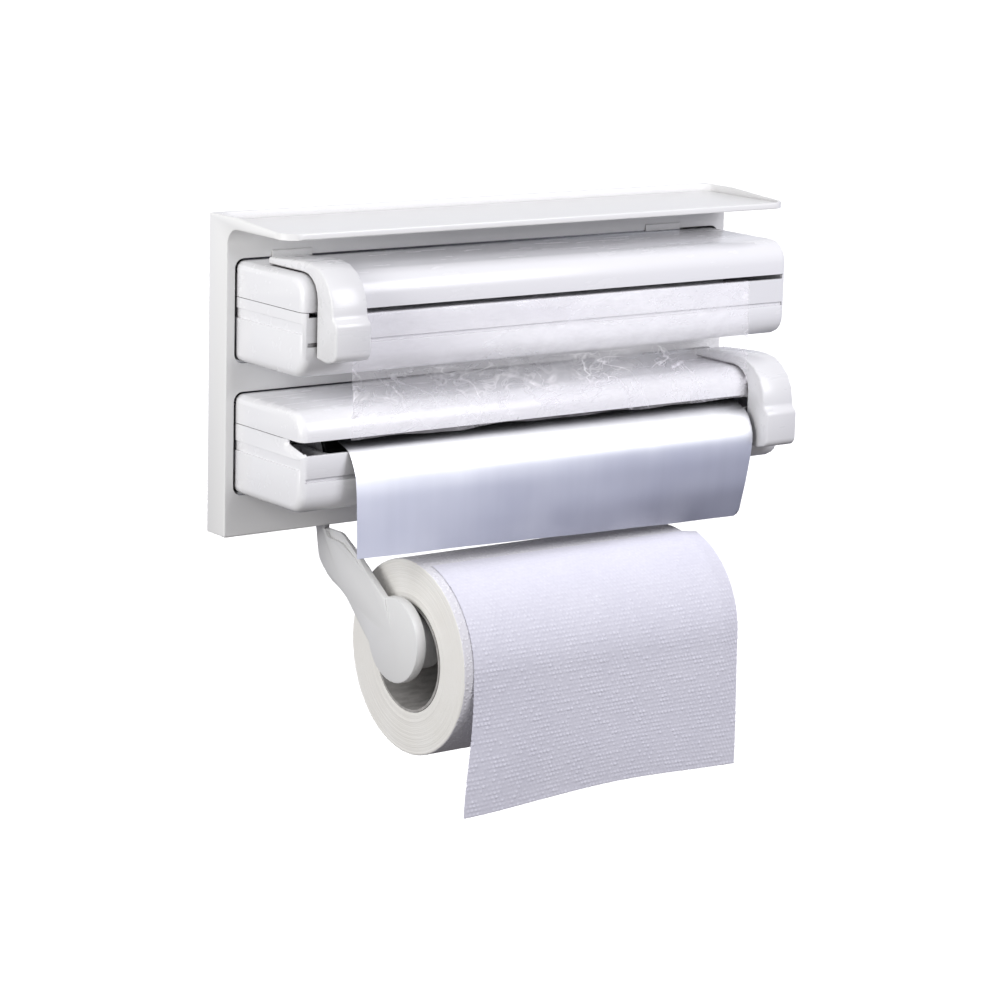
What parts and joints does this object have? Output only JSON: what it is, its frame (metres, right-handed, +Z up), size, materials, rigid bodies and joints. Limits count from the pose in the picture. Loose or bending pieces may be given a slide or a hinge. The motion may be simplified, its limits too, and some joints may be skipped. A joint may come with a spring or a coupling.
{
  "type": "kitchen roll and film dispenser",
  "caption": "Wall-mounted kitchen dispenser with a shelf, pull-out cling film and foil cassettes with slide cutters, and swing-out arms for a kitchen paper roll.",
  "frame": {"origin": "middle of the frame's rear face, on the wall", "axes": "+X to the right along the width, +Y into the wall, +Z up"},
  "size_m": [0.39, 0.1502, 0.3585],
  "materials": {
    "white_plastic": "satin moulded",
    "steel": "bright",
    "cling_film": "clear, wrinkled",
    "foil": "bright rolled",
    "cardboard": "matte grey",
    "paper": "embossed tissue"
  },
  "bodies": {
    "frame": {"wall_frame": "white_plastic", "wall_screw_upper_left": "steel", "wall_screw_upper_right": "steel", "wall_screw_lower_left": "steel", "wall_screw_lower_right": "steel", "cassette_catch_upper_left": "white_plastic", "cassette_catch_upper_right": "white_plastic", "cassette_catch_lower_left": "white_plastic", "cassette_catch_lower_right": "white_plastic", "arm_pivot_pin_left": "steel", "arm_pivot_pin_right": "steel", "paper_tail": "paper"},
    "upper_cassette": {"upper_box": "white_plastic", "upper_hinge_pin_left": "steel", "upper_hinge_pin_right": "steel", "cling_film_tail": "cling_film"},
    "upper_lid": {"upper_lid": "white_plastic"},
    "upper_slider": {"upper_slider": "white_plastic", "upper_slider_runner": "white_plastic", "upper_slider_blade": "steel"},
    "cling_film": {"cling_film_roll": "cling_film", "cling_film_core": "cardboard", "cling_film_plug_left": "white_plastic", "cling_film_plug_right": "white_plastic"},
    "lower_cassette": {"lower_box": "white_plastic", "lower_hinge_pin_left": "steel", "lower_hinge_pin_right": "steel", "foil_tail": "foil"},
    "lower_lid": {"lower_lid": "white_plastic"},
    "lower_slider": {"lower_slider": "white_plastic", "lower_slider_runner": "white_plastic", "lower_slider_blade": "steel"},
    "foil": {"foil_roll": "foil", "foil_core": "cardboard", "foil_plug_left": "white_plastic", "foil_plug_right": "white_plastic"},
    "arm_left": {"roll_arm_left": "white_plastic"},
    "arm_right": {"roll_arm_right": "white_plastic"},
    "paper": {"paper_roll": "paper", "paper_core": "cardboard"}
  },
  "joints": [
    {"name": "upper_cassette_slide", "type": "slide", "parent": "frame", "child": "upper_cassette", "axis": [0, -1, 0], "range_m": [0, 0.08]},
    {"name": "upper_lid_hinge", "type": "hinge", "parent": "upper_cassette", "child": "upper_lid", "pos_m": [0, -0.0194, 0.066], "axis": [-1, 0, 0], "range_deg": [0, 8]},
    {"name": "upper_slider_slide", "type": "slide", "parent": "upper_lid", "child": "upper_slider", "axis": [1, 0, 0], "range_m": [0, 0.335], "deforming": ["cling_film_tail"]},
    {"name": "cling_film_spin", "type": "hinge", "parent": "upper_cassette", "child": "cling_film", "pos_m": [0, -0.05, 0.0375], "axis": [1, 0, 0], "continuous": true},
    {"name": "lower_cassette_slide", "type": "slide", "parent": "frame", "child": "lower_cassette", "axis": [0, -1, 0], "range_m": [0, 0.08]},
    {"name": "lower_lid_hinge", "type": "hinge", "parent": "lower_cassette", "child": "lower_lid", "pos_m": [0, -0.0194, -0.016], "axis": [-1, 0, 0], "range_deg": [0, 10]},
    {"name": "lower_slider_slide", "type": "slide", "parent": "lower_lid", "child": "lower_slider", "axis": [-1, 0, 0], "range_m": [0, 0.335], "deforming": ["foil_tail"]},
    {"name": "foil_spin", "type": "hinge", "parent": "lower_cassette", "child": "foil", "pos_m": [0, -0.05, -0.0445], "axis": [1, 0, 0], "continuous": true},
    {"name": "arm_left_swing", "type": "hinge", "parent": "frame", "child": "arm_left", "pos_m": [-0.118, -0.012, -0.088], "axis": [0, 1, 0], "range_deg": [0, 18]},
    {"name": "arm_right_swing", "type": "hinge", "parent": "frame", "child": "arm_right", "pos_m": [0.118, -0.012, -0.088], "axis": [0, -1, 0], "range_deg": [0, 18]},
    {"name": "paper_spin", "type": "hinge", "parent": "frame", "child": "paper", "pos_m": [0, -0.0875, -0.1715], "axis": [1, 0, 0], "continuous": true}
  ]
}
